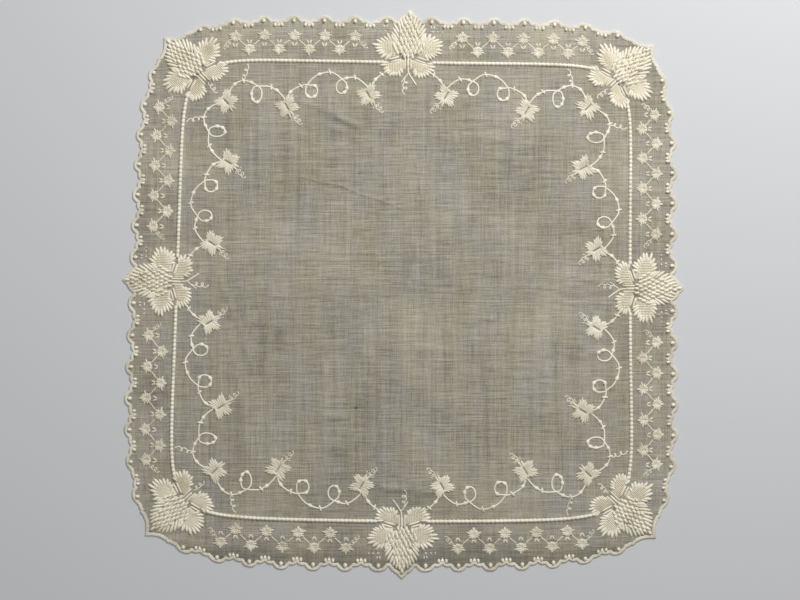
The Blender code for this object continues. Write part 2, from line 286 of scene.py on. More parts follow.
# Half width and height of each kind of stitch
Size = namedtuple("Size", "half height")
BEAD = Size(1.7, 1.9)
CORD = Size(1.3, 1.2)
NOTCH_SPIKE = Size(0.9, 1.3)
SPRIG_TOOTH = Size(0.98, 1.2)
SPRIG_STEM = Size(0.62, 0.8)
BUD = Size(1.1, 1.2)
KNOT = Size(1.05, 1.6)
TENDRIL = Size(0.5, 0.7)
LEAF_TENDRIL = Size(0.52, 0.8)
VINE_TOOTH = Size(1.16, 1.3)
CLUSTER_TOOTH = Size(1.42, 1.6)
SLIT_STITCH = Size(0.98, 1.35)
CLUSTER_BAR = Size(0.6, 1.35)
BERRY = Size(1.22, 2.35)
TIP_BERRY = Size(1.5, 1.9)
TWIG_HEIGHT = 0.9
TICK_HEIGHT = 1.1
# Height of the padding under each kind of motif
SPRIG_BED = 0.7
VINE_LEAF_BED = 0.95
CLUSTER_LEAF_BED = 0.8
BUNCH_BED = 0.55

# How wide a pad is along its length: where it is widest, and how its two ends close
Shape = namedtuple("Shape", "peak start_power start_root end_power end_root")
OVAL = Shape(0.5, 2.0, 0.5, 2.0, 0.5)
PETAL = Shape(0.6, 2.0, 0.75, 1.75, 0.8)
FINGER = Shape(0.5, 3.4, 0.6, 3.0, 0.7)
SPIKE = Shape(0.18, 2.0, 0.6, 1.1, 1.0)
RIB = Shape(0.5, 5.0, 0.8, 5.0, 0.8)


def between_rows(rows, row, ring=True, closed=False):
    """Faces between rows of points; a row can be a ring, and the rows can close up too."""
    faces = []
    for i in range(rows if closed else rows - 1):
        a, b = i * row, (i + 1) % rows * row
        for j in range(row if ring else row - 1):
            k = (j + 1) % row
            faces.append((a + j, a + k, b + k, b + j))
    return faces


def flipped(faces):
    return [face[:1] + face[:0:-1] for face in faces]


def pad_faces(along, across):
    """Faces of one pad: its upper grid, and its flat back as one face."""
    row = 2 * across + 1
    rim = list(range(row))
    rim += [i * row + row - 1 for i in range(1, along + 1)]
    rim += [along * row + j for j in range(row - 2, -1, -1)]
    rim += [i * row for i in range(along - 1, 0, -1)]
    return between_rows(along + 1, row, ring=False) + [tuple(reversed(rim))]


def raised(points, z):
    """Points at their heights over the cloth's underside."""
    base = lie(points).reshape(z.shape)
    return np.concatenate([points, (base + z)[..., None]], -1)


def pads(stitches, rows, shape, along=6, across=2, ridges_along=0.0, ridges_across=0.0):
    """Padded satin shapes, each from a row of start x, y, end x, y, half width and height."""
    rows = np.asarray(rows, float).reshape(-1, 6)
    start, end = rows[:, None, None, 0:2], rows[:, None, None, 2:4]
    half, height = rows[:, 4, None, None], rows[:, 5, None, None]
    run = end - start
    length = np.hypot(run[..., 0], run[..., 1])[..., None]
    right = np.stack([run[..., 1], -run[..., 0]], -1) / length
    t = np.linspace(0, 1, along + 1)
    s = np.linspace(-1, 1, 2 * across + 1)
    before = np.clip(1 - t / shape.peak, 0, 1)
    after = np.clip((t - shape.peak) / (1 - shape.peak), 0, 1)
    wide = np.where(
        t < shape.peak,
        (1 - before ** shape.start_power) ** shape.start_root,
        (1 - after ** shape.end_power) ** shape.end_root,
    )
    wide = np.maximum(wide, 0.1)
    wide, tall = wide[:, None], np.sqrt(wide)[:, None]
    tall[0] = tall[-1] = 0.0
    dome = np.sqrt(np.maximum(0, 1 - s * s)) ** 0.8
    points = start + run * t[:, None, None] + right * (half * wide * s)[..., None]
    z = height * (tall * dome)
    grooves = (ridges_along * (-1.0) ** np.arange(len(t))[:, None]
               + ridges_across * (-1.0) ** np.arange(len(s)))
    z = z + grooves * (z[0] > 0) * np.minimum(1, tall * 1.2)
    verts = raised(points, np.maximum(z, 0))
    stitches.add(verts.reshape(len(rows), -1, 3), pad_faces(along, across))


def gone_along(line):
    return np.concatenate([[0], np.cumsum(np.hypot(*np.diff(line, axis=0).T))])


def at_marks(line, marks):
    """Points on a line at distances along it."""
    gone = gone_along(line)
    return np.stack([np.interp(marks, gone, line[:, 0]), np.interp(marks, gone, line[:, 1])], 1)


def smooth_line(waypoints, step):
    """A curve through the waypoints, with points at equal steps."""
    p = np.asarray(waypoints, float)
    ends = np.concatenate([[2 * p[0] - p[1]], p, [2 * p[-1] - p[-2]]])
    fine = []
    for k in range(len(p) - 1):
        a, b, c, d = ends[k:k + 4]
        t = np.linspace(0, 1, 12, endpoint=False)[:, None]
        fine.append(0.5 * (2 * b + (c - a) * t + (2 * a - 5 * b + 4 * c - d) * t ** 2
                           + (3 * b - a - 3 * c + d) * t ** 3))
    fine = np.concatenate(fine + [p[-1:]])
    length = gone_along(fine)[-1]
    return at_marks(fine, np.linspace(0, length, max(3, int(length / step) + 1)))


def thread_line(stitches, line, half, height, twist=0.1):
    """A raised stem of overcast stitches along a line; half may differ at each point."""
    count = len(line)
    half = np.broadcast_to(np.asarray(half, float), (count,))
    height = np.broadcast_to(np.asarray(height, float), (count,))
    run = np.gradient(line, axis=0)
    run /= np.hypot(run[:, 0], run[:, 1])[:, None] + 1e-9
    right = np.stack([run[:, 1], -run[:, 0]], 1)
    beat = 1 + twist * (-1.0) ** np.arange(count)
    aside = np.array([-1.0, -0.64, 0.0, 0.64, 1.0])
    tall = np.array([0.0, 0.74, 1.0, 0.74, 0.0])
    points = line[:, None] + right[:, None] * (half * beat)[:, None, None] * aside[None, :, None]
    z = (height * beat)[:, None] * tall[None]
    z[0] *= 0.4
    z[-1] *= 0.4
    row = len(tall)
    ends = [tuple(range(row))[::-1], tuple(range(row * (count - 1), row * count))]
    stitches.add(raised(points, z).reshape(-1, 3), between_rows(count, row) + ends)


CURLS = 3                   # turns in each tendril
CURL_STEPS = 14             # waypoints in each turn
TENDRIL_STEP = 0.45


def tendril(stitches, start, end, radius, size=TENDRIL):
    """A curly thread from start to end, whose turns grow and then close up again."""
    start, end = np.asarray(start, float), np.asarray(end, float)
    run = end - start
    ahead = run / np.hypot(*run)
    aside = np.array([ahead[1], -ahead[0]])
    t = np.linspace(0, 1, CURL_STEPS * CURLS)
    turn = 2 * math.pi * CURLS * t
    wide = radius * np.sin(math.pi * np.clip(t * 0.96 + 0.04, 0, 1)) ** 0.5
    line = (start + run * t[:, None]
            + aside * (wide * np.sin(turn))[:, None] - ahead * (wide * np.cos(turn))[:, None])
    thread_line(stitches, smooth_line(line, TENDRIL_STEP), *size)


class Place:
    """A flat local frame: u to the right of its axis, v along the axis."""

    def __init__(self, root, tip, mirror=1):
        run = np.asarray(tip, float) - np.asarray(root, float)
        self.root = np.asarray(root, float)
        self.out = run / np.hypot(*run)
        self.right = np.array([self.out[1], -self.out[0]]) * mirror

    def __call__(self, u, v):
        return self.root + self.right * u + self.out * v

    def points(self, uv):
        uv = np.asarray(uv, float).reshape(-1, 2)
        return self.root + uv[:, :1] * self.right + uv[:, 1:] * self.out


def polar(turn, reach):
    """Degrees to the right of straight on, as u and v."""
    return reach * math.sin(math.radians(turn)), reach * math.cos(math.radians(turn))


# A single stitch, from one place to another
Stroke = namedtuple("Stroke", "from_u from_v to_u to_v half")


def laid(place, stroke, way=1, spread=1.0):
    """A stroke's two ends, on one side of its motif."""
    return (*place(way * stroke.from_u, stroke.from_v),
            *place(way * stroke.to_u * spread, stroke.to_v))


# A leaf's teeth: degrees round from its tip, and how far each reaches
Tooth = namedtuple("Tooth", "turn reach")


def leaf(rows, place, teeth, split, from_v, size, rng):
    """Satin blocks from a midrib out to the teeth on both sides."""
    for way in (1, -1):
        for tooth in teeth:
            turn = tooth.turn + rng.uniform(-3, 3)
            u, v = polar(turn, tooth.reach * rng.uniform(0.95, 1.06))
            along = math.radians(turn)
            a = place(way * (0.1 + split * math.sin(along) ** 2), from_v * math.cos(along))
            b = place(way * max(u, 0.3), v)
            rows.append((*a, *b, size.half * rng.uniform(0.92, 1.08), size.height))


def bed(stitches, place, outline_uv, height):
    """Low padding under a motif, inside a closed outline round its middle."""
    rim = np.asarray(outline_uv, float)
    middle = rim.mean(0)
    rings = [(1.0, 0.0), (0.93, 0.8), (0.6, 1.0)]
    points = [place.points(middle + (rim - middle) * share) for share, _ in rings]
    heights = np.repeat([height * tall for _, tall in rings], len(rim))
    points = np.concatenate(points + [place.points(middle)])
    heights = np.append(heights, height)
    count = len(rim)
    faces = flipped(between_rows(len(rings), count))
    last = (len(rings) - 1) * count
    for k in range(count):
        faces.append((last + k, len(points) - 1, last + (k + 1) % count))
    faces.append(tuple(range(count)))
    stitches.add(raised(points, heights), faces)


# The ground

def crease_points():
    """Points along the middle and the two feet of each crease, a few mm apart."""
    points = []
    for crease in CREASES:
        run = np.array([crease.x1 - crease.x0, crease.y1 - crease.y0])
        length = np.hypot(*run)
        aside = np.array([-run[1], run[0]]) / length
        far = TROUGH_RIDGES if crease.height < 0 else 1.0
        for t in np.linspace(0, 1, int(length / CREASE_STEP) + 1):
            for foot in (-far - 1, -far, -0.5, 0.0, 0.5, far, far + 1):
                shift = foot * crease.width - wander(crease, t)
                points.append((crease.x0 + run[0] * t + aside[0] * shift,
                               crease.y0 + run[1] * t + aside[1] * shift))
    return points


def tree_of(points):
    tree = KDTree(len(points))
    for k, (x, y) in enumerate(points):
        tree.insert((x, y, 0), k)
    tree.balance()
    return tree


def clear_of(taken, points):
    """Those of the points that keep a little way off the taken ones."""
    tree = tree_of(taken)
    return [(x, y) for x, y in points if tree.find((x, y, 0))[2] > 0.5 * CLOTH_GRID]


def linen_ground(material):
    """The linen itself: a thin closed sheet on the folds, cut to the scalloped edge."""
    loop = outline(EDGE_STEP)
    tree = tree_of(loop)
    steps = int(CLOTH_REACH / CLOTH_GRID)
    i, j = np.meshgrid(np.arange(-steps, steps + 1), np.arange(-steps, steps + 1))
    x = (i + 0.5 * (j % 2)) * CLOTH_GRID
    y = j * CLOTH_GRID * ROW_SPACING
    inner = []
    for px, py in zip(x.ravel(), y.ravel()):
        if max(abs(px), abs(py)) > NEAR_EDGE:
            near, k, gap = tree.find((px, py, 0))
            run = loop[(k + 1) % len(loop)] - loop[k - 1]
            inward = (px - near.x) * run[1] - (py - near.y) * run[0]
            if gap < 0.55 * CLOTH_GRID or inward < 0:
                continue
        inner.append((px, py))
    inner = clear_of(crease_points(), inner) + crease_points()
    points = [Vector(p) for p in loop.tolist() + inner]
    result = delaunay_2d_cdt(points, [], [list(range(len(loop)))], 1, 1e-6)
    order = [origin[0] for origin in result[3]]
    upper = [tuple(order[i] for i in face) for face in result[2]]
    flat = np.array(loop.tolist() + inner)
    used = sorted({i for face in upper for i in face} | set(range(len(loop))))
    renumber = {old: new for new, old in enumerate(used)}
    upper = [tuple(renumber[i] for i in face) for face in upper]
    flat = flat[used]
    under = lie(flat) + CLOTH_RISE
    count = len(flat)
    verts = np.concatenate([np.column_stack([flat, under + CLOTH_THICK]),
                            np.column_stack([flat, under])])
    faces = upper + [tuple(count + i for i in reversed(face)) for face in upper]
    for k in range(len(loop)):
        after = (k + 1) % len(loop)
        faces.append((k, after, count + after, count + k))
    piece = new_piece("linen_ground", verts, faces, material)
    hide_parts(NODE)
    return piece, (loop.max(0) - loop.min(0)) * MM, flat_area(loop)


def flat_area(loop):
    x, y = loop.T
    return abs(np.dot(x, np.roll(y, -1)) - np.dot(y, np.roll(x, -1))) / 2 * MM * MM


# The edge

STITCH = 0.42               # half of one buttonhole stitch along the edge
SMOOTHED = 1.9              # the edge's direction is taken over this far each way
STITCH_RIDGE = 0.14         # how far every second step stands up
# The band's section, from its outer lip inward
RimPoint = namedtuple("RimPoint", "deep tall")
RIM = [
    RimPoint(-0.35, 0.0), RimPoint(-0.3, 0.62), RimPoint(0.15, 1.0), RimPoint(0.7, 0.86),
    RimPoint(1.35, 0.84), RimPoint(1.95, 0.72), RimPoint(2.3, 0.0),
]


def edge_stitching(material):
    """Buttonhole stitches packed round the edge, with a purled outer lip."""
    loop = outline(0.5)
    closed = np.concatenate([loop, loop[:1]])
    length = gone_along(closed)[-1]
    count = 2 * int(length / STITCH / 2)
    marks = np.linspace(0, length, count, endpoint=False)
    line = at_marks(closed, marks)
    reach = int(SMOOTHED / STITCH)
    run = np.roll(line, -reach, 0) - np.roll(line, reach, 0)
    run /= np.hypot(run[:, 0], run[:, 1])[:, None]
    inward = np.stack([run[:, 1], -run[:, 0]], 1)
    bite = 1 + 0.07 * np.sin(marks * 1.9) + 0.05 * np.sin(marks * 0.73)
    deep, tall = np.array(RIM).T
    beat = (-1.0) ** np.arange(count)
    deep = np.where(deep > 1, deep[None] * bite[:, None], deep[None])
    points = line[:, None] + inward[:, None] * deep[..., None]
    z = tall[None] + STITCH_RIDGE * beat[:, None] * (tall > 0)
    faces = flipped(between_rows(count, len(tall), closed=True))
    stitches = Stitches()
    stitches.add(raised(points, z).reshape(-1, 3), faces)
    return stitches.piece("edge_stitching", material)


def scallop_places():
    """Middles of the big and small scallops and the notches, as kind and place along."""
    along = sum(piece.width for piece in POINT_EDGE)
    places = []
    for scallop in SCALLOPS:
        places.append(("big", along + scallop.big / 2))
        along += scallop.big
        places.append(("small", along + scallop.small * 0.52))
        places.append(("notch", along + scallop.small))
        places.append(("small", along + scallop.small * 1.48))
        along += 2 * scallop.small
    places.append(("big", along + LAST_SCALLOP.width / 2))
    return places


# A dot under a scallop: where it starts and ends inside the line of the peaks
EdgeDot = namedtuple("EdgeDot", "start end half height")
EDGE_DOTS = {"big": EdgeDot(5.4, 1.9, 1.75, 2.1), "small": EdgeDot(8.7, 5.5, 1.4, 1.9)}


def edge_dots(material):
    """Padded dots under the scallops, and a spike of long stitches at each notch."""
    stitches = Stitches()
    dots, spikes = [], []
    for side, mirror in HALF_SIDES:
        for kind, along in scallop_places():
            if kind in EDGE_DOTS:
                dot = EDGE_DOTS[kind]
                ends = [(along, HALF_SIDE - dot.start), (along, HALF_SIDE - dot.end)]
                dots.append((*settled(side, mirror, ends).ravel(), dot.half, dot.height))
            else:
                for lean in (-0.9, 0.0, 0.9):
                    ends = [(along + lean, HALF_SIDE - 6.2),
                            (along + 0.25 * lean, HALF_SIDE - 10.2 + abs(lean))]
                    a, b = settled(side, mirror, ends)
                    spikes.append((*a, *b, *NOTCH_SPIKE))
    pads(stitches, dots, OVAL, 12, 2, ridges_along=0.12)
    pads(stitches, spikes, SPIKE, 5, 1)
    return stitches.piece("edge_dots", material)


# The bead line

BEAD_PITCH = 3.12


def bead_line(material):
    """Padded dots in a row over a fine cord, from cluster to cluster."""
    stitches = Stitches()
    beads = []
    for side, mirror in HALF_SIDES:
        run = [(a, BEAD_LINE) for a in np.linspace(BEAD_FROM, BEAD_TO, 60)]
        line = smooth_line(settled(side, mirror, run), BEAD_PITCH)
        for a, b in zip(line[:-1], line[1:]):
            beads.append((*(a - (b - a) * 0.03), *(b + (b - a) * 0.03), *BEAD))
        thread_line(stitches, smooth_line(line, 0.7), *CORD)
    pads(stitches, beads, OVAL, 12, 2, ridges_along=0.11)
    return stitches.piece("bead_line", material)


# Sprigs between the bead line and the edge

SprigRow = namedtuple("SprigRow", "first out count")
OUTER_SPRIGS = SprigRow(41.0, 190.5, 5)
INNER_SPRIGS = SprigRow(52.7, 181.0, 4)
SPRIG_PITCH = 23.2
SPRIG_LEAF = [
    Tooth(4, 5.8), Tooth(29, 4.7), Tooth(50, 4.9), Tooth(71, 6.4), Tooth(97, 4.6),
    Tooth(121, 5.0), Tooth(152, 3.6),
]


def sprig(fillings, rows, buds, place, outward, rng):
    """A small toothed leaf, and behind it a two-petalled bud that opens to the edge."""
    bed(fillings, place, [polar(45 * k, 3.6) for k in range(8)], SPRIG_BED)
    leaf(rows, place, SPRIG_LEAF, 0.0, 0.7, SPRIG_TOOTH, rng)
    closed, opened = (-8.2, -4.0) if outward else (-3.2, -7.0)
    for aside in (-1.9, 1.9):
        buds.append((*place(0.1 * aside, closed), *place(aside, opened), *BUD))


def sprig_rows(material, fillings, rng):
    """Two rows of sprigs, staggered, with a zigzag stem between them."""
    stitches = Stitches()
    leaves, buds = [], []
    for side, mirror in HALF_SIDES:
        stops = []
        for row, outward in ((OUTER_SPRIGS, 1), (INNER_SPRIGS, -1)):
            for k in range(row.count):
                along = row.first + SPRIG_PITCH * k
                ends = [(along, row.out), (along, row.out + 4 * outward)]
                root, tip = settled(side, mirror, ends)
                sprig(fillings, leaves, buds, Place(root, tip), outward > 0, rng)
                stops.append((along, row.out))
        stops.sort()
        for (a0, o0), (a1, o1) in zip(stops[:-1], stops[1:]):
            run = [(a0 + (a1 - a0) * t, o0 + (o1 - o0) * t) for t in (0.3, 0.45, 0.6, 0.7)]
            line = smooth_line(settled(side, mirror, run), 0.55)
            thread_line(stitches, line, *SPRIG_STEM, twist=0.12)
        for a, o, way in ((OUTER_SPRIGS.first, OUTER_SPRIGS.out, -1),
                          (stops[-1][0], OUTER_SPRIGS.out, 1)):
            start, end = settled(side, mirror, [(a + 4.0 * way, o - 2.4), (a + 9.6 * way, o - 8.6)])
            tendril(stitches, start, end, 1.5)
    pads(stitches, leaves, PETAL, 7, 2, ridges_across=0.07)
    pads(stitches, buds, OVAL, 6, 1)
    return stitches.piece("sprigs", material)


# The inner vine

def curl(centre, radii, turn_from, turn_to, count=9):
    """Waypoints round an ellipse, by degrees from straight out toward the side's middle."""
    points = []
    for k in range(count):
        turn = math.radians(turn_from + (turn_to - turn_from) * k / (count - 1))
        points.append((centre[0] - radii[0] * math.sin(turn), centre[1] + radii[1] * math.cos(turn)))
    return points


# Each run of the vine: its waypoints, where it swells, and where a knot crosses it
VineRun = namedtuple("VineRun", "waypoints swellings knots")
VINE = [
    VineRun([(142, 150), (135, 154), (129.4, 155.9), (124.3, 155.8), (119.4, 154)]
            + curl((115.6, 145.2), (4.2, 6.0), 40, 345)
            + [(109, 151.2), (105, 150.6), (99.6, 147.8), (96, 144.4), (92.8, 140.4)],
            (0.1, 0.26, 0.5, 0.55, 0.6, 0.88), (0.19, 0.83)),
    VineRun([(92.5, 140.4), (90.6, 144.6), (88, 148), (83, 151), (78.2, 152.6), (74.4, 152.3)]
            + curl((73.2, 147.8), (4.6, 4.9), 35, 290, 7)
            + [(77, 152), (73, 157.3), (69.3, 160.1), (64, 162.2), (59.4, 162.7), (55.5, 161.6)]
            + curl((50.3, 151.6), (4.1, 5.2), 25, 335)
            + [(49.3, 157.4), (45.5, 158.6), (41.7, 159.1), (37.9, 158), (33.2, 154.6), (29.2, 150.6)],
            (0.05, 0.2, 0.27, 0.31, 0.47, 0.67, 0.7, 0.85), (0.12, 0.53, 0.9)),
    VineRun([(28.4, 150.4), (26.3, 155.1), (24.1, 158.2), (20.4, 161.4), (15.0, 164.6)],
            (0.4,), (0.72,)),
]


STEM_STEP = 0.5
STEM_HALF = 0.72
SWELLING = 1.05             # how much wider a swelling is to each side
SWELLING_LENGTH = 1.3
KNOT_REACH = 2.7


def vine_thread(stitches, line, swellings, knots, rows):
    """A stem that swells here and there, with short stitches laid across it as knots."""
    t = np.linspace(0, 1, len(line))
    length = STEM_STEP * (len(line) - 1)
    half = np.full(len(line), STEM_HALF)
    for where in swellings:
        half += SWELLING * np.exp(-((t - where) * length / SWELLING_LENGTH) ** 2)
    thread_line(stitches, line, half, 0.5 + 0.55 * half)
    for where in knots:
        k = int(where * (len(line) - 1))
        run = line[min(k + 2, len(line) - 1)] - line[max(k - 2, 0)]
        run = run / np.hypot(*run)
        aside = (np.array([run[1], -run[0]]) + 0.35 * run) * KNOT_REACH
        rows.append((*(line[k] - aside), *(line[k] + aside), *KNOT))


def inner_vine(material):
    stitches = Stitches()
    knots = []
    for side, mirror in HALF_SIDES:
        for run in VINE:
            line = smooth_line(settled(side, mirror, run.waypoints), STEM_STEP)
            vine_thread(stitches, line, run.swellings, run.knots, knots)
        start, end = settled(side, mirror, [(126.6, 157.0), (122.6, 169.0)])
        tendril(stitches, start, end, 1.5)
    pads(stitches, knots, RIB, 6, 1)
    return stitches.piece("inner_vine", material)


# The vine's leaves

# Short stitches beside the tendril at a leaf's tip
TWIG = [
    Stroke(0.9, 8.4, 2.2, 11.8, 0.62), Stroke(2.6, 8.2, 5.2, 10.9, 0.62),
    Stroke(-0.9, 9.0, -1.9, 12.2, 0.55), Stroke(2.0, 13.4, 4.9, 13.0, 0.55),
]
# Where each leaf of the vine starts, and how far its tip leans off the way to the middle
VineLeaf = namedtuple("VineLeaf", "along out lean")
VINE_LEAVES = [VineLeaf(29.8, 146.0, 30.0), VineLeaf(91.7, 135.4, 30.0)]
VINE_LEAF = [
    Tooth(8, 9.8), Tooth(33, 7.4), Tooth(46, 9.6), Tooth(58, 10.8), Tooth(70, 9.8),
    Tooth(83, 7.6), Tooth(103, 7.8), Tooth(115, 9.8), Tooth(127, 10.8), Tooth(139, 9.6),
    Tooth(153, 7.4), Tooth(172, 5.4),
]
# The padding under one half of a leaf, lobe by lobe
LEAF_BED = [
    Tooth(0, 7.4), Tooth(14, 7.6), Tooth(24, 4.8), Tooth(37, 7.4), Tooth(58, 9.2),
    Tooth(80, 7.6), Tooth(93, 4.8), Tooth(106, 7.6), Tooth(127, 9.2), Tooth(150, 6.8),
    Tooth(180, 5.0), Tooth(174, 2.9), Tooth(90, 0.4), Tooth(6, 2.9),
]
SLIT_HALF = 0.3             # half the slit's width
SLIT_REACH = 2.9            # from a leaf's middle to each end of its slit


def vine_leaf(fillings, rows, place, rng):
    """A five-lobed leaf of satin blocks, with a slit left open along its midrib."""
    for way in (1, -1):
        rim = [polar(way * step.turn, step.reach) for step in LEAF_BED]
        rim = [(u if abs(v) > SLIT_REACH else way * max(way * u, SLIT_HALF), v) for u, v in rim]
        bed(fillings, place, rim[::way], VINE_LEAF_BED)
    leaf(rows, place, VINE_LEAF, SLIT_HALF, 2.7, VINE_TOOTH, rng)


def vine_leaves(material, fillings, rng):
    stitches = Stitches()
    rows = []
    tails = []
    for side, mirror in HALF_SIDES:
        for stop in VINE_LEAVES:
            turn = math.radians(stop.lean)
            ahead = (stop.along - 9 * math.sin(turn), stop.out - 9 * math.cos(turn))
            root, tip = settled(side, mirror, [(stop.along, stop.out), ahead])
            place = Place(root, tip, mirror)
            vine_leaf(fillings, rows, place, rng)
            tails.append(place)
    for side in range(4):
        inner = CORNER_LEAF - 6
        root, tip = settled(side, 1, [(CORNER_LEAF, CORNER_LEAF), (inner, inner)])
        vine_leaf(fillings, rows, Place(root, tip), rng)
    pads(stitches, rows, PETAL, 8, 2, ridges_across=0.08)
    twigs = []
    for place in tails:
        tendril(stitches, place(1.0, 8.4), place(3.4, 17.4), 1.7, LEAF_TENDRIL)
        twigs += [(*laid(place, twig), twig.half, TWIG_HEIGHT) for twig in TWIG]
    pads(stitches, twigs, OVAL, 6, 1)
    return stitches.piece("vine_leaves", material)


# The clusters

# The leaves on one side of a cluster: each one's middle, the way its tip points by degrees
# from straight out, its two root points, where its bars start and end aside, its teeth
ClusterLeaf = namedtuple("ClusterLeaf", "aside out tip root_one root_two bars_from bars_to teeth")
CLUSTER_LEAVES = [
    ClusterLeaf(13.5, 6.2, 84, (6.4, -1.0), (6.4, 12.6), 8.0, 22.0, [
        Tooth(-24, 9.2), Tooth(-4, 9.8), Tooth(16, 10.4), Tooth(35, 11.2), Tooth(52, 12.0),
        Tooth(68, 13.2), Tooth(83, 14.2), Tooth(97, 13.0), Tooth(111, 12.4), Tooth(125, 11.6),
        Tooth(140, 11.2), Tooth(156, 10.4), Tooth(173, 9.4)]),
    ClusterLeaf(9.5, -8.0, 124, (1.3, -8.0), (2.8, -2.6), 2.4, 17.8, [
        Tooth(78, 10.0), Tooth(92, 11.6), Tooth(106, 11.0), Tooth(121, 10.8), Tooth(136, 10.6),
        Tooth(151, 9.8), Tooth(168, 8.8), Tooth(186, 8.8), Tooth(205, 8.6), Tooth(224, 8.2)]),
]
# Long stitches that edge the slits between the leaves
Line = namedtuple("Line", "from_u from_v to_u to_v")
SLIT_STITCHES = [
    Line(6.4, -0.9, 14.8, -3.4), Line(4.4, -2.6, 13.8, -5.5), Line(2.1, -0.4, 2.3, -11.2),
    Line(0.15, -0.6, 0.15, -9.2),
]
# Long leaning stitches of the leaf that stands behind the bunch
BLADES = [
    Line(8.2, 8.4, 12.6, 14.6), Line(7.4, 10.2, 13.4, 18.0), Line(6.8, 12.4, 12.9, 21.4),
    Line(6.0, 14.6, 11.7, 24.6), Line(5.0, 16.8, 9.4, 27.0), Line(4.2, 19.2, 7.0, 28.8),
    Line(3.2, 21.6, 4.6, 30.6),
]
BAR_PITCH = 1.25
BunchWidth = namedtuple("BunchWidth", "out half")
BUNCH = [
    BunchWidth(-1.0, 3.4), BunchWidth(2.0, 9.6), BunchWidth(4.0, 12.4), BunchWidth(8.6, 12.2),
    BunchWidth(10.0, 9.0), BunchWidth(15.0, 7.4), BunchWidth(20.0, 6.0), BunchWidth(26.0, 4.6),
    BunchWidth(30.0, 3.4), BunchWidth(34.0, 1.4),
]
BERRY_ROW = 3.15
BERRY_COLUMN = 3.15
BERRY_LONG = 4.0
BERRY_STRAY = 0.42          # how far a berry may stray, and lean
BERRY_LEAN = 0.035          # lean for each mm from the bunch's middle
ROW_ARCH = 0.013            # how a row of berries curves down to its ends
BUNCH_REACH = 16


def bunch_half_width(out):
    return float(np.interp(out, [w.out for w in BUNCH], [w.half for w in BUNCH]))


def cluster_places():
    """Each cluster's place, and whether it is at a corner."""
    places = []
    for side in range(4):
        ends = [(0.0, SIDE_CLUSTER), (0.0, HALF_SIDE)]
        places.append((Place(*settled(side, 1, ends)), False))
        ends = [(CORNER_CLUSTER, CORNER_CLUSTER), (HALF_SIDE, HALF_SIDE)]
        places.append((Place(*settled(side, 1, ends)), True))
    return places


def leaf_edge(shape, way, tip_share, notch_share):
    """Points round a cluster's leaf, at a share of its teeth's reach, then its root."""
    points = []
    for tooth, after in zip(shape.teeth, shape.teeth[1:] + [None]):
        steps = [(tooth.turn, tooth.reach * tip_share)]
        if after:
            steps.append(((tooth.turn + after.turn) / 2,
                          (tooth.reach + after.reach) / 2 * notch_share))
        for turn, reach in steps:
            u, v = polar(turn, reach)
            points.append((way * (shape.aside + u), shape.out + v))
    return points + [(way * u, v) for u, v in (shape.root_one, shape.root_two)]


def cluster_leaf(fillings, place, shape, way, rng, teeth, bars):
    """Padded teeth round a leaf, and parallel bars of stitching across its middle."""
    bed(fillings, place, leaf_edge(shape, way, 0.84, 0.74)[::way], CLUSTER_LEAF_BED)
    for tooth in shape.teeth:
        reach = tooth.reach * rng.uniform(0.9, 1.13)
        swept = 0.3 * (tooth.turn - shape.tip)
        near = polar(tooth.turn + swept + rng.uniform(-4, 4), 0.4 * reach)
        far = polar(tooth.turn + rng.uniform(-3, 3), reach)
        a = place(way * (shape.aside + near[0]), shape.out + near[1])
        b = place(way * (shape.aside + far[0]), shape.out + far[1])
        teeth.append((*a, *b, CLUSTER_TOOTH.half * rng.uniform(0.92, 1.1), CLUSTER_TOOTH.height))
    core = np.array(leaf_edge(shape, way, 0.7, 0.6))
    after = np.roll(core, -1, 0)
    for k in range(int((shape.bars_to - shape.bars_from) / BAR_PITCH) + 1):
        u = way * (shape.bars_from + BAR_PITCH * k)
        crossing = (core[:, 0] - u) * (after[:, 0] - u) < 0
        p, q = core[crossing], after[crossing]
        if len(p) < 2:
            continue
        v = p[:, 1] + (q[:, 1] - p[:, 1]) * (u - p[:, 0]) / (q[:, 0] - p[:, 0])
        bars.append((*place(u, v.min()), *place(u, v.max()), *CLUSTER_BAR))


def bunch(fillings, place, rng, berries):
    """Rows of padded berries, arched and staggered, over a padded bed."""
    outs = np.linspace(BUNCH[0].out, BUNCH[-1].out - 1.5, 9)
    right = [(bunch_half_width(out) - 0.6, out) for out in outs]
    # The bed shows between the berries in the fillings' darker thread, which is painted shade for the
    # gaps
    bed(fillings, place, [(-u, v) for u, v in right] + right[::-1], BUNCH_BED)
    row, out = 0, 0.0
    while out < BUNCH[-1].out + 2.5:
        count = int(BUNCH_REACH / BERRY_COLUMN)
        for k in range(-count, count + 1):
            u = (k + 0.5 * (row % 2)) * BERRY_COLUMN
            v = out - ROW_ARCH * u * u
            if v < -0.6 or abs(u) > bunch_half_width(v):
                continue
            lean = BERRY_LEAN * u + rng.uniform(-BERRY_STRAY, BERRY_STRAY)
            size = rng.uniform(0.88, 1.12)
            u = u + rng.uniform(-BERRY_STRAY, BERRY_STRAY)
            v = v + rng.uniform(-BERRY_STRAY, BERRY_STRAY)
            a = place(u - lean, v - 0.5 * BERRY_LONG * size)
            b = place(u + lean, v + 0.5 * BERRY_LONG * size)
            berries.append((*a, *b, BERRY.half * size, BERRY.height))
        out += BERRY_ROW
        row += 1


# Dots and ticks above a side cluster's outer leaves
TICKS = [
    Stroke(16.9, 20.4, 16.3, 23.0, 0.75), Stroke(18.5, 20.4, 18.9, 23.0, 0.75),
    Stroke(16.6, 18.4, 19.2, 18.4, 0.85), Stroke(20.8, 18.3, 22.6, 18.5, 0.8),
    Stroke(24.2, 18.2, 25.8, 18.4, 0.75),
]


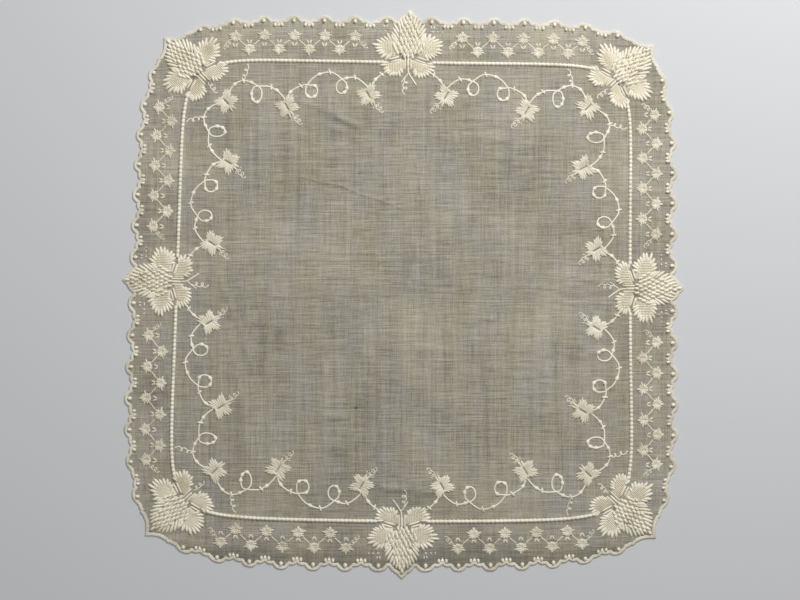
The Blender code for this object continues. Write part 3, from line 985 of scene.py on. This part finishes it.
def cluster_stems(stitches, place, corner):
    """A cut stem, a prong and a curly tendril below a cluster; at a corner, curls alone."""
    if corner:
        tendril(stitches, place(0.6, -11.5), place(-0.4, -21.5), 1.5)
        return
    stem = [(0.2, -8.5), (0.6, -12.5), (3.6, -17.4), (6.8, -21.8)]
    prong = [(0.6, -13.0), (-2.2, -16.6), (-4.8, -20.4)]
    for waypoints, half in ((stem, STEM_HALF), (prong, 0.5)):
        line = smooth_line(place.points(waypoints), STEM_STEP)
        thread_line(stitches, line, half, 0.4 + 0.8 * half)
    tendril(stitches, place(-1.2, -17.0), place(-2.4, -29.5), 1.7)


def clusters(material, leaf_material, fillings, rng):
    leaves, bunches = Stitches(), Stitches()
    teeth, slits, bars, berries, ticks = [], [], [], [], []
    for place, corner in cluster_places():
        for way in (1, -1):
            for shape in CLUSTER_LEAVES:
                cluster_leaf(fillings, place, shape, way, rng, teeth, bars)
            slits += [(*laid(place, line, way), *SLIT_STITCH) for line in SLIT_STITCHES]
            for blade in BLADES:
                spread = rng.uniform(0.96, 1.04)
                teeth.append((*laid(place, blade, way, spread), *CLUSTER_TOOTH))
            if not corner:
                ticks += [(*laid(place, tick, way), tick.half, TICK_HEIGHT) for tick in TICKS]
        bunch(fillings, place, rng, berries)
        if not corner:
            berries.append((*place(0.0, 30.2), *place(0.0, 33.6), *TIP_BERRY))
        cluster_stems(leaves, place, corner)
    pads(leaves, ticks, OVAL, 6, 1)
    pads(fillings, bars, RIB, 14, 2, ridges_along=0.16)
    pads(leaves, slits, FINGER, 10, 2, ridges_across=0.08)
    pads(leaves, teeth, PETAL, 8, 2, ridges_across=0.08)
    pads(bunches, berries, OVAL, 12, 3, ridges_along=0.11)
    leaves.piece("cluster_leaves", leaf_material)
    bunches.piece("grape_bunches", material)


# Materials

class Graph:
    """The nodes of a new material; each input of a node is a value or another's output."""

    def __init__(self, name):
        self.material = bpy.data.materials.new(name)
        self.material.use_nodes = True
        self.tree = self.material.node_tree
        self.shader = self.tree.nodes["Principled BSDF"]

    def feed(self, node, inputs):
        for name, value in inputs.items():
            if isinstance(value, (float, tuple)):
                node.inputs[name].default_value = value
            else:
                self.tree.links.new(value, node.inputs[name])

    def node(self, kind, inputs, **settings):
        node = self.tree.nodes.new("ShaderNode" + kind)
        for name, value in settings.items():
            setattr(node, name, value)
        self.feed(node, inputs)
        return node

    def noise(self, where, scale, detail, rough):
        """A noise stretched by its three scales, so that it runs as threads do."""
        mapping = self.node("Mapping", {"Vector": where, "Scale": scale})
        inputs = {"Vector": mapping.outputs[0], "Scale": 1.0, "Detail": detail, "Roughness": rough}
        return self.node("TexNoise", inputs).outputs["Fac"]

    def maths(self, kind, *values):
        return self.node("Math", dict(enumerate(values)), operation=kind).outputs[0]

    def blend(self, kind, share, below, above):
        inputs = {"Factor": share, 6: below, 7: above}
        return self.node("Mix", inputs, data_type="RGBA", blend_type=kind).outputs[2]

    def ramp(self, value, stops):
        node = self.node("ValToRGB", {"Fac": value})
        elements = node.color_ramp.elements
        while len(elements) < len(stops):
            elements.new(0.5)
        for element, (at, colour) in zip(elements, stops):
            element.position = at
            element.color = (*colour, 1)
        return node.outputs["Color"]

    def bump(self, height, strength, distance):
        node = self.node("Bump", {"Height": height, "Strength": strength, "Distance": distance})
        self.feed(self.shader, {"Normal": node.outputs["Normal"]})


# The noises that make the linen's tone: how fast each runs across and up, and its share
Slub = namedtuple("Slub", "across up detail rough share")
SLUBS = [
    Slub(50, 1150, 3.0, 0.7, 0.24), Slub(1250, 80, 3.0, 0.7, 0.14), Slub(150, 11, 2.0, 0.6, 0.07),
    Slub(13, 17, 4.0, 0.55, 0.13), Slub(1500, 1500, 2.0, 0.6, 0.19), Slub(7, 800, 2.0, 0.8, 0.13),
    Slub(800, 6, 2.0, 0.8, 0.1),
]
Shade = namedtuple("Shade", "at colour")
LINEN = [
    Shade(0.42, (0.17, 0.155, 0.116)), Shade(0.503, (0.36, 0.33, 0.262)),
    Shade(0.595, (0.57, 0.53, 0.44)),
]
# Patches where the linen is a little cooler or warmer
TINTS = [Shade(0.36, (0.975, 0.985, 1.06)), Shade(0.5, (1, 1, 1)), Shade(0.64, (1, 1, 0.93))]
SPECK_PLACE = (-0.0355, -0.0855, 0.0004)    # a small dark spot on the plain middle, in metres
SPECK_HALF = 0.0007
SPECK_DARK = (0.03, 0.026, 0.02, 1.0)
WEAVE_SCALE = 720.0

# Thread, from its shaded parts to its lightest; the fillings' thread is a duller yellowish grey, and
# darker too as painted shade for the gaps between the raised stitches over it
FLOSS = {
    "cotton_floss": ((0.60, 0.53, 0.385), (0.87, 0.815, 0.665), (0.945, 0.905, 0.79)),
    "edge_floss": ((0.44, 0.40, 0.30), (0.68, 0.635, 0.51), (0.84, 0.80, 0.68)),
    "leaf_floss": ((0.47, 0.41, 0.29), (0.715, 0.66, 0.52), (0.85, 0.80, 0.68)),
    "cluster_floss": ((0.56, 0.495, 0.355), (0.83, 0.775, 0.625), (0.93, 0.885, 0.765)),
    "filling_floss_and_painted_shade": ((0.45, 0.395, 0.27), (0.725, 0.665, 0.51), (0.86, 0.81, 0.67)),
}
FLOSS_STOPS = (0.32, 0.48, 0.64)


def linen_material():
    """Fine sheer linen: slubs that run both ways over a tight plain weave."""
    graph = Graph("sheer_linen")
    where = graph.node("TexCoord", {}).outputs["Object"]
    tone = 0.0
    for slub in SLUBS:
        noise = graph.noise(where, (slub.across, slub.up, 1), slub.detail, slub.rough)
        tone = graph.maths("MULTIPLY_ADD", noise, slub.share, tone)
    patches = graph.noise(where, (34, 17, 1), 3.0, 0.6)
    colour = graph.blend("MULTIPLY", 1.0, graph.ramp(tone, LINEN), graph.ramp(patches, TINTS))
    away = graph.node("VectorMath", {0: where, 1: SPECK_PLACE}, operation="DISTANCE")
    spot = graph.maths("LESS_THAN", away.outputs["Value"], SPECK_HALF)
    wave = {"Vector": where, "Scale": WEAVE_SCALE, "Distortion": 0.6}
    threads = [graph.node("TexWave", wave, bands_direction=way).outputs["Fac"] for way in "XY"]
    weave = graph.maths("MULTIPLY", graph.maths("ADD", *threads), 0.35)
    graph.bump(graph.maths("ADD", weave, tone), 0.5, 0.0002)
    graph.feed(graph.shader, {
        "Base Color": graph.blend("MIX", spot, colour, SPECK_DARK),
        "Roughness": 0.9, "Sheen Weight": 0.15, "Specular IOR Level": 0.25})
    return graph.material


def thread_material(name):
    """Soft cotton floss with a low sheen, a little yellower where its tone, wandering at random, is
    darker.
    """
    graph = Graph(name)
    where = graph.node("TexCoord", {}).outputs["Object"]
    strands = graph.noise(where, (1100, 1100, 1100), 4.0, 0.7)
    age = graph.noise(where, (60, 60, 60), 2.0, 0.5)
    tone = graph.maths("ADD", graph.maths("MULTIPLY", strands, 0.55),
                       graph.maths("MULTIPLY", age, 0.45))
    graph.bump(strands, 0.4, 0.0003)
    graph.feed(graph.shader, {
        "Base Color": graph.ramp(tone, list(zip(FLOSS_STOPS, FLOSS[name]))),
        "Roughness": 0.62, "Sheen Weight": 0.2, "Specular IOR Level": 0.35})
    return graph.material


# Floor, light and camera

PIXEL = 0.75                # mm of cloth for each pixel of the 800 by 600 frame
CENTRE_PIXEL = (403.3, 294.0)
FRAME_PIXELS = (800, 600)
LENS = 85.0
SENSOR = 36.0

Lamp = namedtuple("Lamp", "name place size power")
LAMPS = [
    Lamp("key_light", (0.5, 0.86, 0.86), 0.45, 14.4),
    Lamp("fill_light", (-0.5, 0.2, 1.7), 1.2, 5.6),
]
FLOOR_SIZE = 24             # metres, so that its edge shows in no view
FLOOR_COLOUR = (0.62, 0.625, 0.635, 1)


def floor():
    bpy.ops.mesh.primitive_plane_add(size=FLOOR_SIZE, location=(0, 0, -0.0001))
    plane = bpy.context.object
    plane.name = "floor"
    graph = Graph("pale_floor")
    graph.feed(graph.shader, {"Base Color": FLOOR_COLOUR, "Roughness": 0.8})
    plane.data.materials.append(graph.material)


def studio():
    floor()
    for lamp in LAMPS:
        light = bpy.data.lights.new(lamp.name, "AREA")
        light.energy = lamp.power
        light.size = lamp.size
        holder = bpy.data.objects.new(lamp.name, light)
        holder.location = lamp.place
        holder.rotation_euler = (-Vector(lamp.place)).to_track_quat("-Z", "Y").to_euler()
        bpy.context.scene.collection.objects.link(holder)
    world = bpy.data.worlds.new("studio")
    world.use_nodes = True
    sky = world.node_tree.nodes["Background"].inputs
    sky["Color"].default_value = (1, 1, 1, 1)
    sky["Strength"].default_value = 0.22
    bpy.context.scene.world = world
    bpy.context.scene.view_settings.view_transform = "Standard"


def camera():
    """Straight above the cloth, far enough back to see it flat as the photograph does."""
    lens = bpy.data.cameras.new("camera")
    lens.lens = LENS
    lens.sensor_width = SENSOR
    eye = bpy.data.objects.new("camera", lens)
    across = FRAME_PIXELS[0] * PIXEL
    x = (FRAME_PIXELS[0] / 2 - CENTRE_PIXEL[0]) * PIXEL
    y = (CENTRE_PIXEL[1] - FRAME_PIXELS[1] / 2) * PIXEL
    eye.location = (x * MM, y * MM, across * LENS / SENSOR * MM)
    bpy.context.scene.collection.objects.link(eye)
    bpy.context.scene.camera = eye


def build():
    rng = np.random.default_rng(11)
    floss = {name: thread_material(name) for name in FLOSS}
    ground, size, area = linen_ground(linen_material())
    edge_stitching(floss["edge_floss"])
    edge_dots(floss["cotton_floss"])
    bead_line(floss["cotton_floss"])
    fillings = Stitches()
    sprig_rows(floss["leaf_floss"], fillings, rng)
    inner_vine(floss["cotton_floss"])
    vine_leaves(floss["leaf_floss"], fillings, rng)
    clusters(floss["cotton_floss"], floss["cluster_floss"], fillings, rng)
    # The padding's darker thread is partly painted shade in the gaps between the teeth, berries and
    # bars
    fillings.piece("leaf_fillings", floss["filling_floss_and_painted_shade"])
    studio()
    camera()


build()
